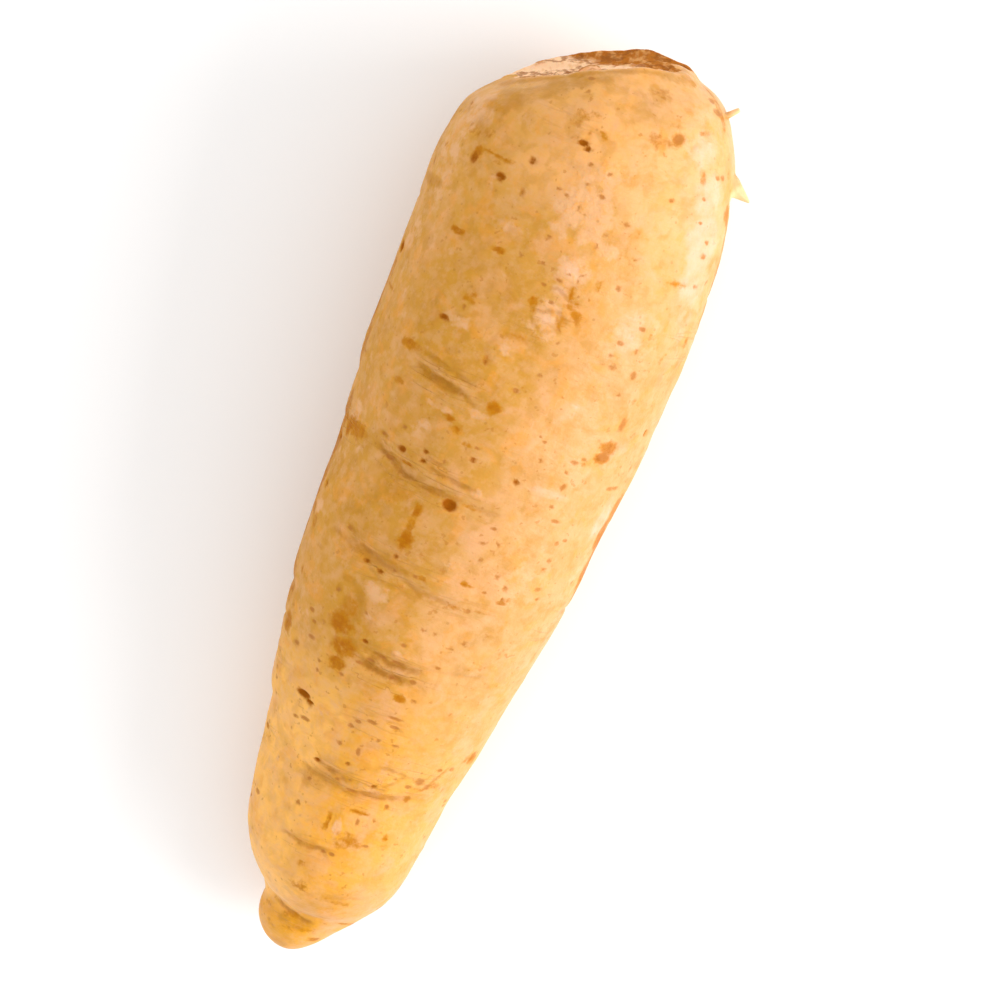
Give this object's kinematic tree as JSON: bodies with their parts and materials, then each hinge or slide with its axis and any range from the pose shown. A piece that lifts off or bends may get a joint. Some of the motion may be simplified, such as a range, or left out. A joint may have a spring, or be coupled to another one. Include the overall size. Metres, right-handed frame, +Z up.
{
  "type": "arracacha root",
  "caption": "Arracacha: a carrot-shaped storage root with pale yellow-orange skin, cross creases, a torn crown scar and a blunt tail nub, lying on its side",
  "frame": {"origin": "centre of the root's bounding box in X and Y, on the plane it rests on (Z = 0)", "axes": "+Y runs along the root from the tail to the crown, +Z is up as it lies on a table, +X is to the right seen from above with the crown at the top"},
  "size_m": [0.056, 0.183, 0.0515],
  "materials": {
    "skin": "smooth waxy root skin, slightly glossy"
  },
  "bodies": {
    "root": {"arracacha_root": "skin"}
  },
  "joints": []
}
